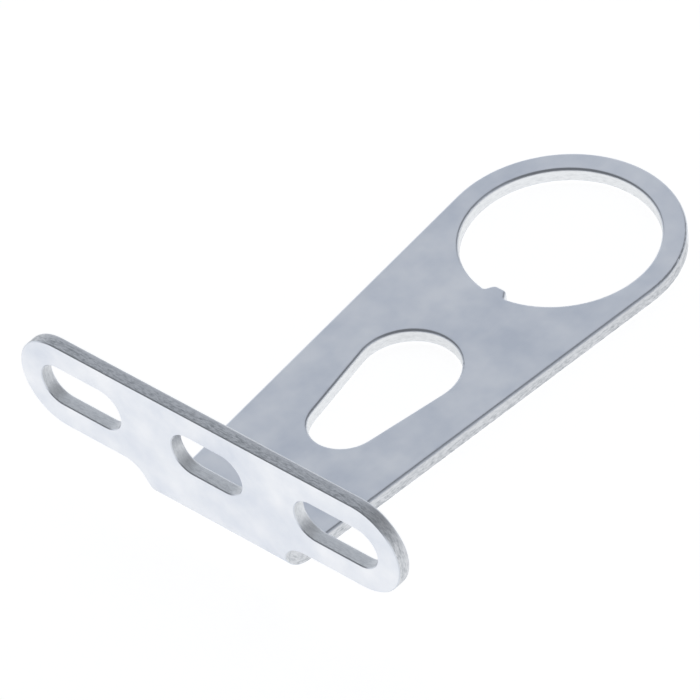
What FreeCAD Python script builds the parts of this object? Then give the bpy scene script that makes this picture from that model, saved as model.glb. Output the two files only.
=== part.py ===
import FreeCAD, Part
import math
import os
import Sketcher

# Bicycle lamp bracket: one stamping of flat sheet, bent once.
# A tapering arm ends in a keyed ring, which the fork's locknut holds round the steerer.
# At its other end the sheet turns up into a cross flange with three slots for the lamp.
#
# Frame: X across the bracket, Y along the arm, Z up, in millimetres.
# The origin is on the axis of the ring's hole, in the arm's underside.
# The flange is at the -Y end, with its outer face towards -Y.

NAME = "lamp_bracket"

SIZES = {
    # the sheet and its one bend
    "sheet_thickness": 2.0,
    "inside_bend_radius": 2.5,
    # the arm: from the hole's axis to the flange's outer face, its width at the bend,
    # and the arcs with which its sides start to flare from there
    "reach": 64.0,
    "root_width": 22.2,
    "flare_radius": 20.0,
    # the ring, whose hole clears a one inch steerer
    "hole_diameter": 25.6,
    "ring_width": 3.2,
    # the key that drops into the steerer's groove
    "key_base_width": 3.4,
    "key_tip_width": 1.8,
    "key_height": 1.35,
    "key_tip_radius": 0.7,
    "key_root_radius": 0.4,
    # the pear shaped opening: its wide end, the metal between that and the hole,
    # its narrow end, and how far apart the centres of the two ends are
    "wide_end_radius": 6.7,
    "ring_web": 9.6,
    "narrow_end_radius": 4.6,
    "opening_run": 11.8,
    # the cross flange: its length, its top above the arm's underside,
    # how far its neck runs straight above the arm's top, and the corners under its lobes
    "flange_length": 61.4,
    "flange_top": 19.4,
    "neck_straight": 0.7,
    "neck_radius": 3.5,
    # the three slots, on the lobes' centre line, and the metal past the outer ones
    "slot_width": 6.0,
    "side_slot_length": 13.1,
    "side_slot_margin": 3.5,
    "middle_slot_length": 11.4,
    # the press rolls the edges of the arm's top and of the flange's inner face,
    # and those of the other face are only broken
    "rolled_edge_radius": 0.45,
    "broken_edge": 0.12,
    # how far the outline of a cut stands clear of the metal that it trims
    "cut_margin": 3.0,
}

# Sizes that follow from those in the sheet.
OUTSIDE_BEND_RADIUS = "(sizes.inside_bend_radius + sizes.sheet_thickness)"
BEND_START = f"(sizes.reach - {OUTSIDE_BEND_RADIUS})"
HALF_ROOT = "(sizes.root_width / 2)"
HOLE_RADIUS = "(sizes.hole_diameter / 2)"
RING_RADIUS = f"({HOLE_RADIUS} + sizes.ring_width)"
KEY_TIP_LEVEL = f"({HOLE_RADIUS} - sizes.key_height)"
WIDE_END_PLACE = f"({HOLE_RADIUS} + sizes.ring_web + sizes.wide_end_radius)"
NARROW_END_PLACE = f"({WIDE_END_PLACE} + sizes.opening_run)"
HALF_FLANGE = "(sizes.flange_length / 2)"
LOBE_LIFT = "(sizes.sheet_thickness + sizes.neck_straight + sizes.neck_radius)"
LOBE_RADIUS = f"((sizes.flange_top - {LOBE_LIFT}) / 2)"
LOBE_END_PLACE = f"({HALF_FLANGE} - {LOBE_RADIUS})"
SLOT_HEIGHT = f"({LOBE_LIFT} + {LOBE_RADIUS})"
SLOT_RADIUS = "(sizes.slot_width / 2)"
SIDE_SLOT_END_PLACE = f"({HALF_FLANGE} - sizes.side_slot_margin - {SLOT_RADIUS})"
MIDDLE_SLOT_END_PLACE = f"(sizes.middle_slot_length / 2 - {SLOT_RADIUS})"

# Two places closer than this are one place.
NEAR = 1e-4
# Faces that meet at more than this angle make an edge to round or to break.
SHARP = math.radians(30)

# The ends and the centre of a piece of a sketch, and the sketch's own origin and axes.
START, END, CENTRE = range(1, 4)
ORIGIN = (-1, 1)
ACROSS, ALONG = -1, -2


def make_sheet(doc):
    """Put the driving sizes into a spreadsheet."""
    sheet = doc.addObject("Spreadsheet::Sheet", "sizes")
    for row, (name, number) in enumerate(SIZES.items(), start=1):
        sheet.set(f"A{row}", name.replace("_", " "))
        sheet.set(f"B{row}", str(number))
        sheet.setAlias(f"B{row}", name)
    doc.recompute()


def value(item, formula):
    """What a formula over the sheet's sizes comes to, in millimetres."""
    return float(item.evalExpression(formula))


def origin_plane(body, role):
    """One of the body's own origin planes."""
    return next(plane for plane in body.Origin.OriginFeatures if plane.Role == role)


def new_sketch(body, name, role):
    """An empty sketch on one of the body's origin planes."""
    sketch = body.newObject("Sketcher::SketchObject", name)
    sketch.AttachmentSupport = [(origin_plane(body, role), "")]
    sketch.MapMode = "FlatFace"
    return sketch


def add_line(sketch, start, end):
    """Draw a straight piece and return its number."""
    ends = [FreeCAD.Vector(x, y, 0) for x, y in (start, end)]
    return sketch.addGeometry(Part.LineSegment(*ends), False)


def add_arc(sketch, centre, radius, first_angle, last_angle):
    """Draw an arc, counter-clockwise between two angles in degrees, and return its number."""
    circle = Part.Circle(FreeCAD.Vector(*centre, 0), FreeCAD.Vector(0, 0, 1), radius)
    turn = Part.ArcOfCircle(circle, math.radians(first_angle), math.radians(last_angle))
    return sketch.addGeometry(turn, False)


def rule(sketch, kind, *where):
    """Add a constraint that has no size of its own."""
    sketch.addConstraint(Sketcher.Constraint(kind, *where))


def size(sketch, name, formula, kind, *where):
    """Add a dimension and bind it to the spreadsheet."""
    number = sketch.addConstraint(Sketcher.Constraint(kind, *where, value(sketch, formula)))
    sketch.renameConstraint(number, name)
    sketch.setExpression(f"Constraints.{name}", formula)


def draw_arm(body):
    """The arm's outline: sides that flare out from the bend and run straight into the ring."""
    half = value(body, HALF_ROOT)
    start = value(body, BEND_START)
    radius = value(body, RING_RADIUS)
    flare = value(body, "sizes.flare_radius")
    apart = math.hypot(half + flare, start)
    lean = math.atan2(start, half + flare) - math.acos((radius + flare) / apart)
    across, along, turn = math.cos(lean), math.sin(lean), math.degrees(lean)
    flare_x, flare_y = half + flare * (1 - across), flare * along - start
    touch_x, touch_y = radius * across, -radius * along
    sketch = new_sketch(body, "arm_outline", "XY_Plane")
    root = add_line(sketch, (-half, -start), (half, -start))
    right_flare = add_arc(sketch, (half + flare, -start), flare, 180 - turn, 180)
    right = add_line(sketch, (flare_x, flare_y), (touch_x, touch_y))
    ring = add_arc(sketch, (0, 0), radius, -turn, 180 + turn)
    left = add_line(sketch, (-touch_x, touch_y), (-flare_x, flare_y))
    left_flare = add_arc(sketch, (-half - flare, -start), flare, 0, turn)
    rule(sketch, "Coincident", root, END, right_flare, END)
    rule(sketch, "Tangent", right_flare, START, right, START)
    rule(sketch, "Tangent", right, END, ring, START)
    rule(sketch, "Tangent", ring, END, left, START)
    rule(sketch, "Tangent", left, END, left_flare, END)
    rule(sketch, "Coincident", left_flare, START, root, START)
    rule(sketch, "Coincident", ring, CENTRE, *ORIGIN)
    rule(sketch, "Symmetric", root, START, root, END, ALONG)
    rule(sketch, "Horizontal", root, END, right_flare, CENTRE)
    rule(sketch, "Horizontal", root, START, left_flare, CENTRE)
    rule(sketch, "Equal", left_flare, right_flare)
    size(sketch, "flare_radius", "sizes.flare_radius", "Radius", right_flare)
    size(sketch, "ring_radius", RING_RADIUS, "Radius", ring)
    size(sketch, "root_width", "sizes.root_width", "DistanceX", root, START, root, END)
    size(sketch, "bend_start", BEND_START, "DistanceY", root, END, *ORIGIN)
    return sketch


def draw_bend(body):
    """The section through the bend and the flange, seen from the side."""
    inside = value(body, "sizes.inside_bend_radius")
    outside = value(body, OUTSIDE_BEND_RADIUS)
    thickness = value(body, "sizes.sheet_thickness")
    front = -value(body, "sizes.reach")
    back = front + thickness
    start = -value(body, BEND_START)
    top = value(body, "sizes.flange_top")
    sketch = new_sketch(body, "bend_section", "YZ_Plane")
    outer_bend = add_arc(sketch, (start, outside), outside, 180, 270)
    outer_face = add_line(sketch, (front, outside), (front, top))
    top_edge = add_line(sketch, (front, top), (back, top))
    inner_face = add_line(sketch, (back, top), (back, outside))
    inner_bend = add_arc(sketch, (start, outside), inside, 180, 270)
    seam = add_line(sketch, (start, thickness), (start, 0))
    rule(sketch, "Tangent", outer_bend, START, outer_face, START)
    rule(sketch, "Coincident", outer_face, END, top_edge, START)
    rule(sketch, "Coincident", top_edge, END, inner_face, START)
    rule(sketch, "Tangent", inner_face, END, inner_bend, START)
    rule(sketch, "Coincident", inner_bend, END, seam, START)
    rule(sketch, "Coincident", seam, END, outer_bend, END)
    rule(sketch, "Coincident", inner_bend, CENTRE, outer_bend, CENTRE)
    for upright in (outer_face, inner_face, seam):
        rule(sketch, "Vertical", upright)
    rule(sketch, "Vertical", outer_bend, END, outer_bend, CENTRE)
    rule(sketch, "Horizontal", top_edge)
    rule(sketch, "PointOnObject", outer_bend, END, ACROSS)
    size(sketch, "outside_radius", OUTSIDE_BEND_RADIUS, "Radius", outer_bend)
    size(sketch, "inside_radius", "sizes.inside_bend_radius", "Radius", inner_bend)
    size(sketch, "bend_start", BEND_START, "DistanceX", outer_bend, CENTRE, *ORIGIN)
    size(sketch, "flange_top", "sizes.flange_top", "DistanceY", *ORIGIN, outer_face, END)
    return sketch


def draw_flange_waste(body):
    """What is cut away beside the neck and round the lobe's end, on the right side.

    The sketch stands across the arm where the bend starts, so that the cut leaves the arm alone.
    """
    half = value(body, HALF_ROOT)
    neck = value(body, "sizes.neck_radius")
    end_radius = value(body, LOBE_RADIUS)
    end_centre = value(body, LOBE_END_PLACE)
    bottom = value(body, LOBE_LIFT)
    middle = value(body, SLOT_HEIGHT)
    top = value(body, "sizes.flange_top")
    margin = value(body, "sizes.cut_margin")
    low, high, far = -margin, top + margin, end_centre + end_radius + margin
    sketch = new_sketch(body, "flange_waste_outline", "XZ_Plane")
    sketch.setExpression("AttachmentOffset.Base.z", BEND_START)
    neck_side = add_line(sketch, (half, low), (half, bottom - neck))
    neck_corner = add_arc(sketch, (half + neck, bottom - neck), neck, 90, 180)
    under_lobe = add_line(sketch, (half + neck, bottom), (end_centre, bottom))
    lobe_end = add_arc(sketch, (end_centre, middle), end_radius, -90, 90)
    inner_side = add_line(sketch, (end_centre, top), (end_centre, high))
    upper_side = add_line(sketch, (end_centre, high), (far, high))
    outer_side = add_line(sketch, (far, high), (far, low))
    lower_side = add_line(sketch, (far, low), (half, low))
    rule(sketch, "Tangent", neck_side, END, neck_corner, END)
    rule(sketch, "Tangent", neck_corner, START, under_lobe, START)
    rule(sketch, "Tangent", under_lobe, END, lobe_end, START)
    rule(sketch, "Coincident", lobe_end, END, inner_side, START)
    rule(sketch, "Coincident", inner_side, END, upper_side, START)
    rule(sketch, "Coincident", upper_side, END, outer_side, START)
    rule(sketch, "Coincident", outer_side, END, lower_side, START)
    rule(sketch, "Coincident", lower_side, END, neck_side, START)
    for upright in (neck_side, inner_side, outer_side):
        rule(sketch, "Vertical", upright)
    for level in (under_lobe, upper_side, lower_side):
        rule(sketch, "Horizontal", level)
    rule(sketch, "Vertical", lobe_end, END, lobe_end, CENTRE)
    size(sketch, "half_neck", HALF_ROOT, "DistanceX", *ORIGIN, neck_side, START)
    size(sketch, "neck_radius", "sizes.neck_radius", "Radius", neck_corner)
    size(sketch, "lobe_lift", LOBE_LIFT, "DistanceY", *ORIGIN, under_lobe, START)
    size(sketch, "lobe_radius", LOBE_RADIUS, "Radius", lobe_end)
    size(sketch, "lobe_end", LOBE_END_PLACE, "DistanceX", *ORIGIN, lobe_end, CENTRE)
    margin_rule = "sizes.cut_margin"
    size(sketch, "past_top", margin_rule, "DistanceY", inner_side, START, inner_side, END)
    size(sketch, "past_bottom", margin_rule, "DistanceY", lower_side, START, *ORIGIN)
    far_rule = f"{LOBE_RADIUS} + sizes.cut_margin"
    size(sketch, "past_end", far_rule, "DistanceX", upper_side, START, upper_side, END)
    return sketch


def draw_keyed_hole(body):
    """The steerer hole, with the key on the side of the flange."""
    radius = value(body, HOLE_RADIUS)
    base = value(body, "sizes.key_base_width / 2")
    tip = value(body, "sizes.key_tip_width / 2")
    tip_level = -value(body, KEY_TIP_LEVEL)
    base_level = -math.sqrt(radius**2 - base**2)
    spread = math.degrees(math.asin(base / radius))
    sketch = new_sketch(body, "keyed_hole_outline", "XY_Plane")
    bore = add_arc(sketch, (0, 0), radius, spread - 90, 270 - spread)
    left = add_line(sketch, (-base, base_level), (-tip, tip_level))
    flat = add_line(sketch, (-tip, tip_level), (tip, tip_level))
    right = add_line(sketch, (tip, tip_level), (base, base_level))
    rule(sketch, "Coincident", bore, END, left, START)
    rule(sketch, "Coincident", left, END, flat, START)
    rule(sketch, "Coincident", flat, END, right, START)
    rule(sketch, "Coincident", right, END, bore, START)
    rule(sketch, "Coincident", bore, CENTRE, *ORIGIN)
    rule(sketch, "Horizontal", left, START, right, END)
    rule(sketch, "Symmetric", flat, START, flat, END, ALONG)
    size(sketch, "hole_radius", HOLE_RADIUS, "Radius", bore)
    size(sketch, "key_base", "sizes.key_base_width", "DistanceX", left, START, right, END)
    size(sketch, "key_tip", "sizes.key_tip_width", "DistanceX", flat, START, flat, END)
    size(sketch, "key_reach", KEY_TIP_LEVEL, "DistanceY", flat, START, *ORIGIN)
    return sketch


def draw_pear_opening(body):
    """The opening in the arm: a narrow and a wide end arc with straight flanks tangent to both."""
    narrow = value(body, "sizes.narrow_end_radius")
    wide = value(body, "sizes.wide_end_radius")
    narrow_place = -value(body, NARROW_END_PLACE)
    wide_place = -value(body, WIDE_END_PLACE)
    lean = math.asin((wide - narrow) / (wide_place - narrow_place))
    side, rise, turn = math.cos(lean), math.sin(lean), math.degrees(lean)
    narrow_touch = (narrow * side, narrow_place - narrow * rise)
    wide_touch = (wide * side, wide_place - wide * rise)
    sketch = new_sketch(body, "pear_opening_outline", "XY_Plane")
    wide_end = add_arc(sketch, (0, wide_place), wide, -turn, 180 + turn)
    left = add_line(sketch, (-wide_touch[0], wide_touch[1]), (-narrow_touch[0], narrow_touch[1]))
    narrow_end = add_arc(sketch, (0, narrow_place), narrow, 180 + turn, 360 - turn)
    right = add_line(sketch, narrow_touch, wide_touch)
    rule(sketch, "Tangent", wide_end, END, left, START)
    rule(sketch, "Tangent", left, END, narrow_end, START)
    rule(sketch, "Tangent", narrow_end, END, right, START)
    rule(sketch, "Tangent", right, END, wide_end, START)
    rule(sketch, "PointOnObject", wide_end, CENTRE, ALONG)
    rule(sketch, "PointOnObject", narrow_end, CENTRE, ALONG)
    size(sketch, "wide_radius", "sizes.wide_end_radius", "Radius", wide_end)
    size(sketch, "narrow_radius", "sizes.narrow_end_radius", "Radius", narrow_end)
    size(sketch, "wide_place", WIDE_END_PLACE, "DistanceY", wide_end, CENTRE, *ORIGIN)
    size(sketch, "narrow_place", NARROW_END_PLACE, "DistanceY", narrow_end, CENTRE, *ORIGIN)
    return sketch


def draw_slot(body, name, length, right_end_place):
    """A round ended slot across the flange.

    Its length, and how far its right end's centre is from the middle, are formulas.
    """
    run_rule = f"({length} - sizes.slot_width)"
    radius = value(body, SLOT_RADIUS)
    height = value(body, SLOT_HEIGHT)
    right_x = value(body, right_end_place)
    left_x = right_x - value(body, run_rule)
    sketch = new_sketch(body, name, "XZ_Plane")
    right_end = add_arc(sketch, (right_x, height), radius, -90, 90)
    upper = add_line(sketch, (right_x, height + radius), (left_x, height + radius))
    left_end = add_arc(sketch, (left_x, height), radius, 90, 270)
    lower = add_line(sketch, (left_x, height - radius), (right_x, height - radius))
    rule(sketch, "Tangent", right_end, END, upper, START)
    rule(sketch, "Tangent", upper, END, left_end, START)
    rule(sketch, "Tangent", left_end, END, lower, START)
    rule(sketch, "Tangent", lower, END, right_end, START)
    rule(sketch, "Horizontal", upper)
    size(sketch, "slot_radius", SLOT_RADIUS, "Radius", right_end)
    size(sketch, "straight_run", run_rule, "DistanceX", left_end, CENTRE, right_end, CENTRE)
    size(sketch, "slot_place", right_end_place, "DistanceX", *ORIGIN, right_end, CENTRE)
    size(sketch, "slot_height", SLOT_HEIGHT, "DistanceY", *ORIGIN, right_end, CENTRE)
    return sketch


def draw_side_slot(body):
    """The slot in the right lobe."""
    length = "sizes.side_slot_length"
    return draw_slot(body, "side_slot_outline", length, SIDE_SLOT_END_PLACE)


def draw_middle_slot(body):
    """The slot over the neck."""
    length = "sizes.middle_slot_length"
    return draw_slot(body, "middle_slot_outline", length, MIDDLE_SLOT_END_PLACE)


def pad(body, name, sketch, length, side="One side"):
    """Raise a sketch into metal."""
    feature = body.newObject("PartDesign::Pad", name)
    feature.Profile = sketch
    feature.SideType = side
    feature.setExpression("Length", length)
    body.Document.recompute()


def must_be_smaller(feature, before):
    """Stop if a cut has taken no metal away."""
    if feature.Shape.Volume >= before:
        raise RuntimeError(f"{feature.Name} removes no metal")


def cut_through(body, name, sketch):
    """Cut along a sketch through all the metal above it or, if it stands, in front of it."""
    before = body.Tip.Shape.Volume
    feature = body.newObject("PartDesign::Pocket", name)
    feature.Profile = sketch
    feature.Type = "ThroughAll"
    feature.Reversed = True
    body.Document.recompute()
    must_be_smaller(feature, before)
    return feature


def mirror(body, name, features):
    """Repeat cuts on the bracket's other side."""
    before = body.Tip.Shape.Volume
    feature = body.newObject("PartDesign::Mirrored", name)
    feature.Originals = features
    feature.MirrorPlane = (origin_plane(body, "YZ_Plane"), [""])
    body.Tip = feature
    body.Document.recompute()
    must_be_smaller(feature, before)


def dress_edges(body, name, edges, kind, dimension, formula):
    """Round or break the numbered edges of the body so far."""
    base = body.Tip
    feature = body.newObject(kind, name)
    feature.Base = (base, [f"Edge{number}" for number in edges])
    feature.setExpression(dimension, formula)
    body.Document.recompute()


def round_edges(body, name, edges, radius):
    """Give edges a fillet."""
    dress_edges(body, name, edges, "PartDesign::Fillet", "Radius", radius)


def break_edges(body, name, edges, width):
    """Give edges a narrow chamfer."""
    dress_edges(body, name, edges, "PartDesign::Chamfer", "Size", width)


def middle_of(edge):
    """The point halfway along an edge."""
    return edge.valueAt((edge.FirstParameter + edge.LastParameter) / 2)


def key_corners(body, from_middle, from_axis):
    """Numbers of the key's two upright edges at these distances across and along."""
    found = []
    for number, edge in enumerate(body.Tip.Shape.Edges, start=1):
        middle = middle_of(edge)
        if math.dist((abs(middle.x), middle.y), (from_middle, -from_axis)) < NEAR:
            found.append(number)
    return found


def depth_in_sheet(body, point):
    """How deep a point is below the sheet's outer face, of which the arm's underside is a part."""
    start = -value(body, BEND_START)
    radius = value(body, OUTSIDE_BEND_RADIUS)
    if point.y > start:
        return point.z
    if point.z > radius:
        return point.y + value(body, "sizes.reach")
    return radius - math.hypot(point.y - start, point.z - radius)


def rim(body, depth):
    """Numbers of the edges where the sheet's face at this depth meets its cut walls."""
    found = []
    shape = body.Tip.Shape
    for number, edge in enumerate(shape.Edges, start=1):
        middle = middle_of(edge)
        if abs(depth_in_sheet(body, middle) - depth) > NEAR:
            continue
        faces = shape.ancestorsOfType(edge, Part.Face)
        normals = [face.normalAt(*face.Surface.parameter(middle)) for face in faces]
        if normals[0].getAngle(normals[-1]) > SHARP:
            found.append(number)
    return found


def make_bracket(doc):
    """The whole bracket, which is one piece of sheet."""
    body = doc.addObject("PartDesign::Body", "bracket_body")
    body.Label = NAME

    pad(body, "arm", draw_arm(body), "sizes.sheet_thickness")
    pad(body, "bend_and_flange", draw_bend(body), "sizes.flange_length", "Symmetric")
    waste = cut_through(body, "flange_waste", draw_flange_waste(body))
    slot = cut_through(body, "side_slot", draw_side_slot(body))
    mirror(body, "other_side", [waste, slot])
    cut_through(body, "middle_slot", draw_middle_slot(body))
    cut_through(body, "keyed_hole", draw_keyed_hole(body))
    cut_through(body, "pear_opening", draw_pear_opening(body))

    tip = value(body, "sizes.key_tip_width / 2")
    tips = key_corners(body, tip, value(body, KEY_TIP_LEVEL))
    round_edges(body, "key_tips", tips, "sizes.key_tip_radius")
    base = value(body, "sizes.key_base_width / 2")
    roots = key_corners(body, base, math.sqrt(value(body, HOLE_RADIUS) ** 2 - base**2))
    round_edges(body, "key_roots", roots, "sizes.key_root_radius")
    rolled = rim(body, value(body, "sizes.sheet_thickness"))
    round_edges(body, "rolled_edges", rolled, "sizes.rolled_edge_radius")
    broken = rim(body, 0)
    break_edges(body, "broken_edges", broken, "sizes.broken_edge")
    return body


def check(doc, body):
    """Stop unless every object is sound and the bracket is one valid solid."""
    for item in doc.Objects:
        if "Invalid" in item.State or "Error" in item.State:
            raise RuntimeError(f"{item.Name} is in error")
    shape = body.Shape
    if shape.isNull() or not shape.isValid() or len(shape.Solids) != 1:
        raise RuntimeError(f"{body.Label} is not one valid solid")


doc = FreeCAD.newDocument("lamp_bracket")
make_sheet(doc)
bracket = make_bracket(doc)
doc.recompute()
check(doc, bracket)
os.makedirs("parts", exist_ok=True)
bracket.Shape.exportStep(f"parts/{bracket.Label}.step")
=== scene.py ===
"""Looks and studio for a bicycle lamp bracket, one blanked and bent sheet of bright metal.

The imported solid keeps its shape. This script gives it a finish that tells the rolled
faces, the sheared walls and the drawn edges apart by where they lie in the sheet,
and sets up a white table, soft lamps and a camera at the photograph's viewing angle.
All lengths are in metres, and MM turns millimetres into them.
"""

import logging
import math
from dataclasses import dataclass, field
from enum import Enum

import bpy
from mathutils import Matrix, Vector


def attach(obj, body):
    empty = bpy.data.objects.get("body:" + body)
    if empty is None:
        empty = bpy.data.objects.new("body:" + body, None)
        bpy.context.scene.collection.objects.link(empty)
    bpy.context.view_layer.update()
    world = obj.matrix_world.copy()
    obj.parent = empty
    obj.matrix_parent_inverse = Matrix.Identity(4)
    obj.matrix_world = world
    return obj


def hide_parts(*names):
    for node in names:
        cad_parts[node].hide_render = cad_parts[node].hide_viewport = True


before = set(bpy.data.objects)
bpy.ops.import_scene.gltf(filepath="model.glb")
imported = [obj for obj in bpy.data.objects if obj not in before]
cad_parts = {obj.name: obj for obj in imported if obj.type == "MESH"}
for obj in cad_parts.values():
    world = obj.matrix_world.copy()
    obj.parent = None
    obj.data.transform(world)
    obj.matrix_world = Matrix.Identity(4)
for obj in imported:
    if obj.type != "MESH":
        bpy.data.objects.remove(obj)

NODE = "lamp_bracket"
MM = 0.001
WHITE = (1.0, 1.0, 1.0, 1.0)

# The sRGB curve: a straight line up to its knee, and from there a power with an offset.
HEX_TOP = 255
SRGB_KNEE = 0.04045
SRGB_SLOPE = 12.92
SRGB_OFFSET = 0.055
SRGB_POWER = 2.4

# The results that aren't a node's first output: a number from Vector Math, a colour from Mix.
NUMBER_OUT = 1
COLOUR_OUT = 2

log = logging.getLogger("lamp_bracket")


def linear(hex_colour: str) -> tuple[float, float, float, float]:
    """Turns an sRGB hex colour into Blender's linear colour.

    Args:
        hex_colour: six hex digits with a leading #.

    Returns:
        Red, green, blue and an alpha of 1.
    """
    parts = [int(hex_colour[i : i + 2], 16) / HEX_TOP for i in (1, 3, 5)]
    curve = [
        part / SRGB_SLOPE
        if part <= SRGB_KNEE
        else ((part + SRGB_OFFSET) / (1 + SRGB_OFFSET)) ** SRGB_POWER
        for part in parts
    ]
    return (*curve, 1.0)


def add_node(
    tree: bpy.types.NodeTree,
    kind: str,
    settings: dict[str, object] | None = None,
    inputs: dict[str, object] | None = None,
) -> bpy.types.Node:
    """Adds one node to a tree, set and linked.

    Args:
        tree: the node tree that gets the node.
        kind: Blender's name for the kind of node.
        settings: the node's own settings by name.
        inputs: by an input's identifier, its value or the output socket that feeds it.

    Returns:
        The new node.
    """
    node = tree.nodes.new(kind)
    for name, value in (settings or {}).items():
        setattr(node, name, value)
    sockets = {socket.identifier: socket for socket in node.inputs}
    for name, value in (inputs or {}).items():
        if isinstance(value, bpy.types.NodeSocket):
            tree.links.new(value, sockets[name])
        else:
            sockets[name].default_value = value
    return node


@dataclass(frozen=True)
class CutFinish:
    """What a cut leaves on its wall: colour and roughness, and how much it is torn, 0 to 1."""

    colour: str
    roughness: float
    tear: float


class Cut(Enum):
    """How a wall was cut, with the finish that it has from that."""

    CLEAN = CutFinish(colour="#F1F3F5", roughness=0.42, tear=0.30)
    PUNCHED = CutFinish(colour="#F1F3F5", roughness=0.56, tear=0.40)
    # The blanked outline's darker colour is partly the torn metal's own tone and partly painted
    # shade for the flange's top strip, which faces the dim room.
    BLANKED = CutFinish(colour="#E3E5E8", roughness=0.52, tear=1.0)


@dataclass(frozen=True)
class Hole:
    """A box round the walls of one or more holes, its reach each way, and how they were cut."""

    centre: tuple[float, float, float]
    reach: tuple[float, float, float]
    cut: Cut


@dataclass(frozen=True)
class SheetPlace:
    """Where the sheet lies: its thickness, the axis that it is bent round, and its holes."""

    thickness: float = 2.0 * MM
    outside_bend_radius: float = 4.5 * MM
    bend_along: float = -59.5 * MM
    bend_up: float = 4.5 * MM
    # The steerer hole, the pear shaped opening and the three slots.
    holes: tuple[Hole, ...] = (
        Hole(
            centre=(0.0, 0.0, 1.0 * MM),
            reach=(13.4 * MM, 13.4 * MM, 2.0 * MM),
            cut=Cut.CLEAN,
        ),
        Hole(
            centre=(0.0, -34.0 * MM, 1.0 * MM),
            reach=(7.4 * MM, 15.0 * MM, 2.0 * MM),
            cut=Cut.CLEAN,
        ),
        Hole(
            centre=(0.0, -63.0 * MM, 12.8 * MM),
            reach=(28.0 * MM, 2.0 * MM, 3.6 * MM),
            cut=Cut.PUNCHED,
        ),
    )
    # The outline's wall colour is partly painted shade.
    outline: Cut = Cut.BLANKED


@dataclass(frozen=True)
class RolledFace:
    """The face that cold rolling leaves: bright and smooth, slightly cloudy, faintly scuffed.

    To the eye that is a soft, cool reflection that shows no image. The grain is drawn
    coarser than the roll's real one, which is too fine to show.
    """

    bright: str = "#F3F5F9"
    cloudy: str = "#E1E6EF"
    # How large the clouds are, how many finer layers they have and how strongly those show.
    cloud: float = 7.0 * MM
    cloud_detail: float = 3.0
    cloud_breakup: float = 0.55
    cloud_span: tuple[float, float] = (0.32, 0.68)
    # What a cloud adds to the roughness.
    cloud_roughness: float = 0.10
    grain: float = 0.30 * MM
    grain_detail: float = 2.0
    scuff_width: float = 0.35 * MM
    scuff_stretch: float = 0.06
    scuff_turn: float = math.radians(29)
    scuff_detail: float = 1.0
    # The sum of grain and scuffs over which the roughness goes from smooth to rough.
    wear_span: tuple[float, float] = (0.7, 1.3)
    roughness: tuple[float, float] = (0.29, 0.36)
    bump: float = 0.0018 * MM


@dataclass(frozen=True)
class ShearedWall:
    """The wall that a die leaves: a smooth sheared band and a gritty torn one.

    To the eye it is grey and grainy beside the bright faces. The outline is blanked with wide
    clearance, so it is torn and dull, and its walls are darker, partly from the torn metal's own
    tone and partly as painted shade for the flange's top strip, which faces the dim room. The
    holes are cut with less, and are cleaner and lighter.
    """

    pitted: str = "#C2C6CA"
    pitted_roughness: float = 0.70
    # Where a hole's box ends and where it counts in full, as shares of its reach.
    hole_margin: tuple[float, float] = (1.02, 0.98)
    # Shares of the thickness, from the outer side: the wall is sheared above the first and
    # torn below the second. The sheared band keeps a share of the tearing.
    sheared_band: float = 0.85
    torn_band: float = 0.45
    sheared_tear: float = 0.35
    pit_depth: float = 0.20 * MM
    pit_length: float = 0.75 * MM
    pit_detail: float = 4.0
    pit_breakup: float = 0.62
    pit_span: tuple[float, float] = (0.42, 0.66)
    bump: float = 0.08 * MM
    # How squarely the surface faces out of the sheet where the wall starts and where it is all.
    wall_facing: tuple[float, float] = (0.62, 0.22)


@dataclass(frozen=True)
class DrawnEdgeAndPaintedLine:
    """The edge that the die draws down as it enters: burnished, with painted shade for a thin
    line.
    """

    # Darker than the rolled face: partly the burnished metal and partly painted shade, the thin
    # dark line along the rounded edges.
    colour: str = "#D8DDE4"
    roughness: float = 0.30
    # How squarely the surface faces out of the sheet where the edge starts and where it is all.
    edge_facing: tuple[float, float] = (0.995, 0.90)


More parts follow.
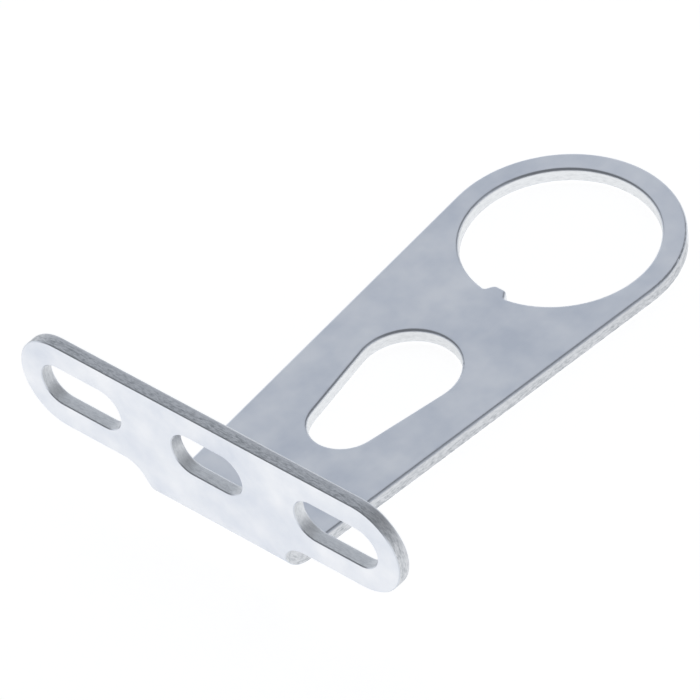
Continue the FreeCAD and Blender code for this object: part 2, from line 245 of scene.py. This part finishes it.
@dataclass
class SheetMaterial:
    """Bare rolled aluminium sheet, blanked and pierced in a die and left uncoated.

    To the eye it is one cool bright metal with three finishes: cloudy rolled faces, grainy
    sheared walls and burnished edges between them. The edges and the outline walls are drawn
    darker, partly as painted shade. It is one material for the whole sheet,
    and finds its finishes by the sheet's own depth, so they follow the bend.
    """

    place: SheetPlace = field(default_factory=SheetPlace)
    face: RolledFace = field(default_factory=RolledFace)
    wall: ShearedWall = field(default_factory=ShearedWall)
    edge: DrawnEdgeAndPaintedLine = field(default_factory=DrawnEdgeAndPaintedLine)
    name: str = "rolled_aluminium_sheet_blanked_and_pierced"

    def build(self) -> bpy.types.Material:
        """Makes the material.

        Returns:
            The finished material.
        """
        material = bpy.data.materials.new(self.name)
        material.use_nodes = True
        tree = material.node_tree
        tree.nodes.clear()
        spot = add_node(tree, "ShaderNodeTexCoord")
        depth, facing = self.sheet_depth(tree, spot)
        wall_low, wall_high = self.wall.wall_facing
        wall_share = add_node(
            tree, "ShaderNodeMapRange", {"interpolation_type": "SMOOTHSTEP"},
            {"Value": facing, "From Min": wall_low, "From Max": wall_high},
        ).outputs[0]
        edge_low, edge_high = self.edge.edge_facing
        edge_and_painted_line_share = add_node(
            tree, "ShaderNodeMapRange", {"interpolation_type": "SMOOTHSTEP"},
            {"Value": facing, "From Min": edge_low, "From Max": edge_high},
        ).outputs[0]
        face_colour, face_roughness, face_height = self.rolled_face(tree, spot)
        wall_tone_and_painted_shade, wall_roughness, wall_height = self.sheared_wall(tree, spot, depth)
        # The edge colour mixed in here is partly painted shade, a thin dark line along the
        # rounded edges, and the wall colour is partly painted shade on the outline walls.
        colour = add_node(
            tree, "ShaderNodeMix", {"data_type": "RGBA"},
            {
                "Factor_Float": edge_and_painted_line_share,
                "A_Color": face_colour, "B_Color": linear(self.edge.colour),
            },
        ).outputs[COLOUR_OUT]
        colour = add_node(
            tree, "ShaderNodeMix", {"data_type": "RGBA"},
            {"Factor_Float": wall_share, "A_Color": colour, "B_Color": wall_tone_and_painted_shade},
        ).outputs[COLOUR_OUT]
        roughness = add_node(
            tree, "ShaderNodeMix", {"data_type": "FLOAT"},
            {
                "Factor_Float": edge_and_painted_line_share,
                "A_Float": face_roughness, "B_Float": self.edge.roughness,
            },
        ).outputs[0]
        roughness = add_node(
            tree, "ShaderNodeMix", {"data_type": "FLOAT"},
            {"Factor_Float": wall_share, "A_Float": roughness, "B_Float": wall_roughness},
        ).outputs[0]
        face_bump = add_node(
            tree, "ShaderNodeBump", None,
            {"Strength": 1.0, "Distance": self.face.bump, "Height": face_height},
        ).outputs[0]
        wall_height = add_node(
            tree, "ShaderNodeMath", {"operation": "MULTIPLY"},
            {"Value": wall_height, "Value_001": wall_share},
        ).outputs[0]
        bump = add_node(
            tree, "ShaderNodeBump", None,
            {
                "Strength": 1.0, "Distance": self.wall.bump,
                "Height": wall_height, "Normal": face_bump,
            },
        ).outputs[0]
        shader = add_node(
            tree, "ShaderNodeBsdfPrincipled", None,
            {"Metallic": 1.0, "Base Color": colour, "Roughness": roughness, "Normal": bump},
        )
        add_node(tree, "ShaderNodeOutputMaterial", None, {"Surface": shader.outputs[0]})
        return material

    def sheet_depth(
        self, tree: bpy.types.NodeTree, spot: bpy.types.Node
    ) -> tuple[bpy.types.NodeSocket, bpy.types.NodeSocket]:
        """Works out how deep a point lies in the sheet and how squarely it faces out of it.

        Both are measured from the axis that the sheet is bent round. The arm and the flange
        carry on straight from the bend, so there only the way out of the sheet counts.

        Args:
            tree: the material's node tree.
            spot: the Texture Coordinate node.

        Returns:
            The depth from the outer side, and 1 on a rolled face down to 0 on a wall.
        """
        from_bend = add_node(
            tree, "ShaderNodeVectorMath", {"operation": "SUBTRACT"},
            {
                "Vector": spot.outputs["Object"],
                "Vector_001": (0.0, self.place.bend_along, self.place.bend_up),
            },
        ).outputs[0]
        # The bend's axis runs across, so x drops out. Only the way forward and down is kept.
        flat = add_node(
            tree, "ShaderNodeVectorMath", {"operation": "MULTIPLY"},
            {"Vector": from_bend, "Vector_001": (0.0, 1.0, 1.0)},
        ).outputs[0]
        outward = add_node(
            tree, "ShaderNodeVectorMath", {"operation": "MINIMUM"},
            {"Vector": flat, "Vector_001": (0.0, 0.0, 0.0)},
        ).outputs[0]
        length = add_node(
            tree, "ShaderNodeVectorMath", {"operation": "LENGTH"}, {"Vector": outward}
        ).outputs[NUMBER_OUT]
        depth = add_node(
            tree, "ShaderNodeMath", {"operation": "SUBTRACT"},
            {"Value": self.place.outside_bend_radius, "Value_001": length},
        ).outputs[0]
        way_out = add_node(
            tree, "ShaderNodeVectorMath", {"operation": "NORMALIZE"}, {"Vector": outward}
        ).outputs[0]
        across = add_node(
            tree, "ShaderNodeVectorMath", {"operation": "DOT_PRODUCT"},
            {"Vector": way_out, "Vector_001": spot.outputs["Normal"]},
        ).outputs[NUMBER_OUT]
        facing = add_node(
            tree, "ShaderNodeMath", {"operation": "ABSOLUTE"}, {"Value": across}
        ).outputs[0]
        return depth, facing

    def rolled_face(
        self, tree: bpy.types.NodeTree, spot: bpy.types.Node
    ) -> tuple[bpy.types.NodeSocket, bpy.types.NodeSocket, bpy.types.NodeSocket]:
        """Makes the rolled face: faint clouds, fine grain and scuffs.

        Args:
            tree: the material's node tree.
            spot: the Texture Coordinate node.

        Returns:
            Colour, roughness and bump height.
        """
        face = self.face
        clouds = add_node(
            tree, "ShaderNodeTexNoise", None,
            {
                "Vector": spot.outputs["Object"], "Scale": 1 / face.cloud,
                "Detail": face.cloud_detail, "Roughness": face.cloud_breakup,
            },
        ).outputs[0]
        grain = add_node(
            tree, "ShaderNodeTexNoise", None,
            {
                "Vector": spot.outputs["Object"], "Scale": 1 / face.grain,
                "Detail": face.grain_detail,
            },
        ).outputs[0]
        stretched = add_node(
            tree, "ShaderNodeMapping", None,
            {
                "Vector": spot.outputs["Object"],
                "Rotation": (0.0, 0.0, face.scuff_turn), "Scale": (1.0, face.scuff_stretch, 1.0),
            },
        ).outputs[0]
        scuffs = add_node(
            tree, "ShaderNodeTexNoise", None,
            {
                "Vector": stretched, "Scale": 1 / face.scuff_width,
                "Detail": face.scuff_detail,
            },
        ).outputs[0]
        cloud_low, cloud_high = face.cloud_span
        cloud_share = add_node(
            tree, "ShaderNodeMapRange", None,
            {"Value": clouds, "From Min": cloud_low, "From Max": cloud_high},
        ).outputs[0]
        colour = add_node(
            tree, "ShaderNodeMix", {"data_type": "RGBA"},
            {
                "Factor_Float": cloud_share,
                "A_Color": linear(face.bright), "B_Color": linear(face.cloudy),
            },
        ).outputs[COLOUR_OUT]
        wear = add_node(
            tree, "ShaderNodeMath", {"operation": "ADD"}, {"Value": grain, "Value_001": scuffs}
        ).outputs[0]
        wear_low, wear_high = face.wear_span
        smooth, rough = face.roughness
        roughness = add_node(
            tree, "ShaderNodeMapRange", None,
            {
                "Value": wear, "From Min": wear_low, "From Max": wear_high,
                "To Min": smooth, "To Max": rough,
            },
        ).outputs[0]
        roughness = add_node(
            tree, "ShaderNodeMath", {"operation": "MULTIPLY_ADD"},
            {"Value": cloud_share, "Value_001": face.cloud_roughness, "Value_002": roughness},
        ).outputs[0]
        return colour, roughness, wear

    def sheared_wall(
        self, tree: bpy.types.NodeTree, spot: bpy.types.Node, depth: bpy.types.NodeSocket
    ) -> tuple[bpy.types.NodeSocket, bpy.types.NodeSocket, bpy.types.NodeSocket]:
        """Makes the sheared wall: pits and fine tears, deepest towards the outer side.

        Args:
            tree: the material's node tree.
            spot: the Texture Coordinate node.
            depth: the depth in the sheet, from the outer side.

        Returns:
            Colour, roughness and bump height.
        """
        wall = self.wall
        # The noise's fourth number grows faster with the depth than its place does along the
        # wall, so the pits lie along the wall, also round its arcs.
        layer = add_node(
            tree, "ShaderNodeMath", {"operation": "MULTIPLY"},
            {"Value": depth, "Value_001": wall.pit_length / wall.pit_depth},
        ).outputs[0]
        grit = add_node(
            tree, "ShaderNodeTexNoise", {"noise_dimensions": "4D"},
            {
                "Vector": spot.outputs["Object"], "W": layer, "Scale": 1 / wall.pit_length,
                "Detail": wall.pit_detail, "Roughness": wall.pit_breakup,
            },
        ).outputs[0]
        band = add_node(
            tree, "ShaderNodeMapRange", {"interpolation_type": "SMOOTHSTEP"},
            {
                "Value": depth,
                "From Min": wall.sheared_band * self.place.thickness,
                "From Max": wall.torn_band * self.place.thickness,
                "To Min": wall.sheared_tear, "To Max": 1.0,
            },
        ).outputs[0]
        colour, roughness, tear = self.cut_finish(tree, spot)
        torn = add_node(
            tree, "ShaderNodeMath", {"operation": "MULTIPLY"}, {"Value": band, "Value_001": tear}
        ).outputs[0]
        pit_low, pit_high = wall.pit_span
        pits = add_node(
            tree, "ShaderNodeMapRange", None,
            {"Value": grit, "From Min": pit_low, "From Max": pit_high},
        ).outputs[0]
        pitted = add_node(
            tree, "ShaderNodeMath", {"operation": "MULTIPLY"}, {"Value": pits, "Value_001": torn}
        ).outputs[0]
        colour = add_node(
            tree, "ShaderNodeMix", {"data_type": "RGBA"},
            {"Factor_Float": pitted, "A_Color": colour, "B_Color": linear(wall.pitted)},
        ).outputs[COLOUR_OUT]
        roughness = add_node(
            tree, "ShaderNodeMix", {"data_type": "FLOAT"},
            {"Factor_Float": pitted, "A_Float": roughness, "B_Float": wall.pitted_roughness},
        ).outputs[0]
        height = add_node(
            tree, "ShaderNodeMath", {"operation": "MULTIPLY"}, {"Value": grit, "Value_001": torn}
        ).outputs[0]
        return colour, roughness, height

    def cut_finish(
        self, tree: bpy.types.NodeTree, spot: bpy.types.Node
    ) -> tuple[bpy.types.NodeSocket, bpy.types.NodeSocket, bpy.types.NodeSocket]:
        """Finds how the wall at a point was cut: as the outline, or as the hole that it is in.

        Args:
            tree: the material's node tree.
            spot: the Texture Coordinate node.

        Returns:
            The colour, the roughness and how much the wall is torn.
        """
        # The outline's colour is partly painted shade, darker for the flange's top strip.
        outline = self.place.outline.value
        colour, roughness, tear = linear(outline.colour), outline.roughness, outline.tear
        for hole in self.place.holes:
            inside = self.inside(tree, spot, hole)
            finish = hole.cut.value
            colour = add_node(
                tree, "ShaderNodeMix", {"data_type": "RGBA"},
                {"Factor_Float": inside, "A_Color": colour, "B_Color": linear(finish.colour)},
            ).outputs[COLOUR_OUT]
            roughness = add_node(
                tree, "ShaderNodeMix", {"data_type": "FLOAT"},
                {"Factor_Float": inside, "A_Float": roughness, "B_Float": finish.roughness},
            ).outputs[0]
            tear = add_node(
                tree, "ShaderNodeMix", {"data_type": "FLOAT"},
                {"Factor_Float": inside, "A_Float": tear, "B_Float": finish.tear},
            ).outputs[0]
        return colour, roughness, tear

    def inside(
        self, tree: bpy.types.NodeTree, spot: bpy.types.Node, hole: Hole
    ) -> bpy.types.NodeSocket:
        """Tells whether a point lies in a hole's box.

        Args:
            tree: the material's node tree.
            spot: the Texture Coordinate node.
            hole: the hole.

        Returns:
            1 inside the box and 0 outside it.
        """
        offset = add_node(
            tree, "ShaderNodeVectorMath", {"operation": "SUBTRACT"},
            {"Vector": spot.outputs["Object"], "Vector_001": hole.centre},
        ).outputs[0]
        scaled = add_node(
            tree, "ShaderNodeVectorMath", {"operation": "DIVIDE"},
            {"Vector": offset, "Vector_001": hole.reach},
        ).outputs[0]
        size = add_node(
            tree, "ShaderNodeVectorMath", {"operation": "ABSOLUTE"}, {"Vector": scaled}
        ).outputs[0]
        parts = add_node(tree, "ShaderNodeSeparateXYZ", None, {"Vector": size}).outputs
        most = parts["X"]
        for part in (parts["Y"], parts["Z"]):
            most = add_node(
                tree, "ShaderNodeMath", {"operation": "MAXIMUM"},
                {"Value": most, "Value_001": part},
            ).outputs[0]
        outside, within = self.wall.hole_margin
        return add_node(
            tree, "ShaderNodeMapRange", None,
            {"Value": most, "From Min": outside, "From Max": within},
        ).outputs[0]


@dataclass
class Bracket:
    """The bracket itself: the solid's own shape, joined up, smoothed and dressed."""

    name: str = "bent_sheet"
    weld: float = 0.002 * MM
    crease: float = math.radians(42)
    material: SheetMaterial = field(default_factory=SheetMaterial)

    def build(self, solid: bpy.types.Object) -> bpy.types.Object:
        """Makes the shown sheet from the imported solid.

        Args:
            solid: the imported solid's object.

        Returns:
            The shown piece.
        """
        sheet = self.welded_copy(solid)
        self.smooth(sheet)
        finish = self.material.build()
        sheet.data.materials.clear()
        sheet.data.materials.append(finish)
        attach(sheet, "root")
        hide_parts(NODE)
        log.info("%s: %d faces in %s", sheet.name, len(sheet.data.polygons), finish.name)
        return sheet

    def welded_copy(self, solid: bpy.types.Object) -> bpy.types.Object:
        """Copies the solid's loose triangles and joins them into one closed shell.

        Args:
            solid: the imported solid's object.

        Returns:
            The copy, selected and active.
        """
        bpy.ops.object.select_all(action="DESELECT")
        sheet = bpy.data.objects.new(self.name, solid.data.copy())
        sheet.data.name = self.name
        bpy.context.scene.collection.objects.link(sheet)
        bpy.context.view_layer.objects.active = sheet
        sheet.select_set(True)
        bpy.ops.mesh.customdata_custom_splitnormals_clear()
        bpy.ops.object.mode_set(mode="EDIT")
        bpy.ops.mesh.select_all(action="SELECT")
        bpy.ops.mesh.remove_doubles(threshold=self.weld)
        bpy.ops.mesh.normals_make_consistent(inside=False)
        bpy.ops.object.mode_set(mode="OBJECT")
        return sheet

    def smooth(self, sheet: bpy.types.Object) -> None:
        """Shades the rolled edges and arcs as round and the flats as flat.

        Args:
            sheet: the shown piece, selected and active.
        """
        bpy.ops.object.shade_smooth_by_angle(angle=self.crease)
        weighted = sheet.modifiers.new("flats_stay_flat", "WEIGHTED_NORMAL")
        weighted.keep_sharp = True
        bpy.ops.object.modifier_apply(modifier=weighted.name)


@dataclass(frozen=True)
class Lamp:
    """A square soft lamp that looks at the bracket."""

    name: str
    towards: tuple[float, float, float]
    distance: float
    width: float
    radiance: float
    colour: str = "#EEF5FF"


@dataclass(frozen=True)
class TableTop:
    """Matt white laminate: evenly white to the eye, with no gloss, and it keeps a soft shadow.

    Its own colour is only what it gives back of the lamps' light. The glow that the camera and
    the metal see lifts it to white, a little less near the bracket, where the shadow lies.
    """

    name: str = "matt_white_laminate"
    colour: str = "#A8A8A8"
    width: float = 4.0
    drop: float = 0.05 * MM
    shadow_near: float = 0.10
    shadow_far: float = 0.45
    glow: float = 0.88

    def build(self) -> bpy.types.Material:
        """Makes the laminate.

        Returns:
            The finished material.
        """
        material = bpy.data.materials.new(self.name)
        material.use_nodes = True
        tree = material.node_tree
        tree.nodes.clear()
        rays = add_node(tree, "ShaderNodeLightPath")
        spot = add_node(tree, "ShaderNodeTexCoord")
        seen = rays.outputs["Is Camera Ray"]
        for ray in ("Is Glossy Ray", "Is Transmission Ray"):
            seen = add_node(
                tree, "ShaderNodeMath", {"operation": "MAXIMUM"},
                {"Value": seen, "Value_001": rays.outputs[ray]},
            ).outputs[0]
        away = add_node(
            tree, "ShaderNodeVectorMath", {"operation": "LENGTH"},
            {"Vector": spot.outputs["Object"]},
        ).outputs[NUMBER_OUT]
        glow = add_node(
            tree, "ShaderNodeMapRange", {"interpolation_type": "SMOOTHSTEP"},
            {
                "Value": away, "From Min": self.shadow_near, "From Max": self.shadow_far,
                "To Min": self.glow, "To Max": 1.0,
            },
        ).outputs[0]
        strength = add_node(
            tree, "ShaderNodeMath", {"operation": "MULTIPLY"}, {"Value": seen, "Value_001": glow}
        ).outputs[0]
        matt = add_node(
            tree, "ShaderNodeBsdfDiffuse", None, {"Color": linear(self.colour)}
        ).outputs[0]
        white = add_node(
            tree, "ShaderNodeEmission", None, {"Color": WHITE, "Strength": strength}
        ).outputs[0]
        surface = add_node(
            tree, "ShaderNodeAddShader", None, {"Shader": matt, "Shader_001": white}
        ).outputs[0]
        add_node(tree, "ShaderNodeOutputMaterial", None, {"Surface": surface})
        return material


@dataclass
class Studio:
    """White table, soft lamps, plain surroundings and the camera."""

    aim: Vector = field(default_factory=lambda: Vector((0.0, -0.024, 0.005)))
    table: TableTop = field(default_factory=TableTop)
    # How bright the surroundings are above the cove. The rolled edges mirror them as a dark line.
    room: float = 0.20
    room_colour: str = "#F8FAFF"
    # How far up the cove's white starts to fade and where it has, from level 0 to overhead 1.
    cove_fade: tuple[float, float] = (0.06, 0.34)
    # The back lamp stands where the arm's top mirrors it into the camera.
    lamps: tuple[Lamp, ...] = (
        Lamp(
            name="back_softbox",
            towards=(-0.5456, 0.5025, 0.6706),
            distance=1.2,
            width=1.5,
            radiance=0.43,
        ),
        Lamp(
            name="side_softbox",
            towards=(0.80, 0.35, 0.50),
            distance=1.3,
            width=0.9,
            radiance=0.28,
        ),
    )
    # The camera that was fitted to the photograph's outlines, with lens and sensor in mm.
    lens: float = 327.3
    sensor: float = 36.0
    clip_start: float = 0.05
    camera_place: Vector = field(default_factory=lambda: Vector((0.4203, -0.4253, 0.5284)))
    camera_look: Vector = field(default_factory=lambda: Vector((-0.5456, 0.5025, -0.6706)))
    camera_up: Vector = field(default_factory=lambda: Vector((-0.3857, 0.5599, 0.7333)))

    def build(self) -> None:
        """Makes the whole studio."""
        self.build_table()
        self.build_room()
        for lamp in self.lamps:
            self.build_lamp(lamp)
        self.build_camera()
        log.info("studio: table, room, %d lamps and camera", len(self.lamps))

    def build_table(self) -> None:
        """Makes the white table top under the bracket."""
        bpy.ops.object.select_all(action="DESELECT")
        bpy.ops.mesh.primitive_plane_add(
            size=self.table.width, location=(self.aim.x, self.aim.y, -self.table.drop)
        )
        top = bpy.context.object
        top.name = "table_top"
        top.data.materials.append(self.table.build())

    def build_room(self) -> None:
        """Makes the surroundings: a white cove low down and a dim room above it."""
        world = bpy.data.worlds.new("plain_room")
        world.use_nodes = True
        bpy.context.scene.world = world
        tree = world.node_tree
        tree.nodes.clear()
        rays = add_node(tree, "ShaderNodeLightPath")
        way = add_node(tree, "ShaderNodeTexCoord").outputs["Generated"]
        up = add_node(tree, "ShaderNodeSeparateXYZ", None, {"Vector": way}).outputs["Z"]
        low, high = self.cove_fade
        strength = add_node(
            tree, "ShaderNodeMapRange", {"interpolation_type": "SMOOTHSTEP"},
            {"Value": up, "From Min": low, "From Max": high, "To Min": 1.0, "To Max": self.room},
        ).outputs[0]
        room = add_node(
            tree, "ShaderNodeBackground", None,
            {"Color": linear(self.room_colour), "Strength": strength},
        ).outputs[0]
        white = add_node(
            tree, "ShaderNodeBackground", None, {"Color": WHITE, "Strength": 1.0}
        ).outputs[0]
        seen = add_node(
            tree, "ShaderNodeMixShader", None,
            {"Fac": rays.outputs["Is Camera Ray"], "Shader": room, "Shader_001": white},
        ).outputs[0]
        add_node(tree, "ShaderNodeOutputWorld", None, {"Surface": seen})

    def build_lamp(self, lamp: Lamp) -> None:
        """Makes one soft lamp.

        Args:
            lamp: the lamp's place and strength.
        """
        data = bpy.data.lights.new(lamp.name, "AREA")
        data.shape = "SQUARE"
        data.size = lamp.width
        # Blender takes the lamp's whole power: its radiance times pi times its area.
        data.energy = lamp.radiance * math.pi * lamp.width**2
        data.color = linear(lamp.colour)[:3]
        holder = bpy.data.objects.new(lamp.name, data)
        bpy.context.scene.collection.objects.link(holder)
        towards = Vector(lamp.towards).normalized()
        holder.location = self.aim + towards * lamp.distance
        holder.rotation_mode = "QUATERNION"
        holder.rotation_quaternion = towards.to_track_quat("Z", "Y")

    def build_camera(self) -> None:
        """Makes the camera at the photograph's viewing angle."""
        data = bpy.data.cameras.new("camera")
        data.sensor_width = self.sensor
        data.lens = self.lens
        data.clip_start = self.clip_start
        holder = bpy.data.objects.new("camera", data)
        bpy.context.scene.collection.objects.link(holder)
        back = -self.camera_look.normalized()
        right = self.camera_up.cross(back).normalized()
        up = back.cross(right)
        turn = Matrix((right, up, back)).transposed().to_4x4()
        holder.matrix_world = Matrix.Translation(self.camera_place) @ turn
        bpy.context.scene.camera = holder


def main() -> None:
    """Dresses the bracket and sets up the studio."""
    logging.basicConfig(level=logging.INFO, format="%(name)s: %(message)s")
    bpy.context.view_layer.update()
    Bracket().build(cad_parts[NODE])
    Studio().build()
    bpy.context.scene.view_settings.view_transform = "Standard"


if __name__ == "__main__":
    main()
